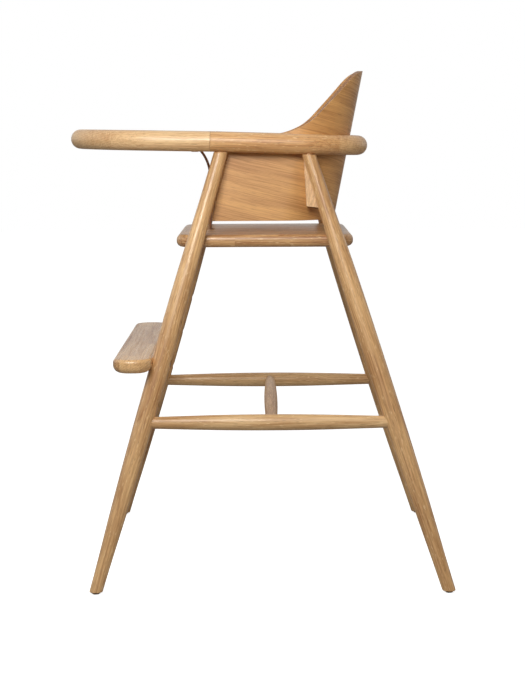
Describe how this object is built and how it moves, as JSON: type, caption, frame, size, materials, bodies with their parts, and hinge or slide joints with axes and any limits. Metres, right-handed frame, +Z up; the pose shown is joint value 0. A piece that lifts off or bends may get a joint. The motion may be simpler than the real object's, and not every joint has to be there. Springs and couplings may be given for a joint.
{
  "type": "baby high chair",
  "caption": "Wooden baby high chair with splayed turned legs, a bent plywood back, a round wooden rail with a pull-off tray, a leather crotch strap and a footrest board.",
  "frame": {"origin": "on the floor under the middle of the chair's bounding box", "axes": "+Z up, -Y the way the child faces, +X towards the child's left side"},
  "size_m": [0.5672, 0.6249, 0.8243],
  "materials": {
    "oak": "clear satin lacquer",
    "beech": "plain dowel",
    "bent_plywood": "clear satin lacquer",
    "panel_plywood": "clear satin lacquer",
    "brown_leather": "waxed",
    "steel": "brushed",
    "brass": "satin",
    "dark_plastic": "matte"
  },
  "bodies": {
    "chair_frame": {"arm_left": "oak", "arm_right": "oak", "back_bow": "oak", "back_shell": "bent_plywood", "bow_dowels": "beech", "cross_stretcher": "oak", "footrest_bolts": "steel", "glide_front_left": "dark_plastic", "glide_front_right": "dark_plastic", "glide_rear_left": "dark_plastic", "glide_rear_right": "dark_plastic", "leg_front_left": "oak", "leg_front_right": "oak", "leg_rear_left": "oak", "leg_rear_right": "oak", "leg_top_dowels": "beech", "seat_board": "oak", "seat_dowels": "beech", "shell_screws": "steel", "side_stretcher_left": "oak", "side_stretcher_right": "oak", "spacer_block_left": "oak", "spacer_block_right": "oak", "spacer_screws": "steel", "strap_pin": "steel", "tray_bush_left": "brass", "tray_bush_right": "brass"},
    "tray": {"tray_bow": "oak", "tray_bow_dowels": "beech", "tray_panel": "panel_plywood", "tray_pin_left": "steel", "tray_pin_right": "steel", "tray_rail_dowels": "beech", "tray_rear_rail": "oak", "tray_side_left": "oak", "tray_side_right": "oak", "tray_stud": "brass"},
    "strap": {"crotch_strap": "brown_leather", "strap_snap": "brass"},
    "footrest": {"footrest_board": "oak", "footrest_inserts": "brass"}
  },
  "joints": [
    {"name": "tray_slide", "type": "slide", "parent": "chair_frame", "child": "tray", "axis": [0, -0.9998, 0.02], "range_m": [0, 0.2]},
    {"name": "strap_swing", "type": "hinge", "parent": "chair_frame", "child": "strap", "pos_m": [0, -0.0795, 0.553], "axis": [1, 0, 0], "range_deg": [0, 50]},
    {"name": "footrest_pull", "type": "slide", "parent": "chair_frame", "child": "footrest", "axis": [0, -1, 0], "range_m": [0, 0.12]}
  ]
}
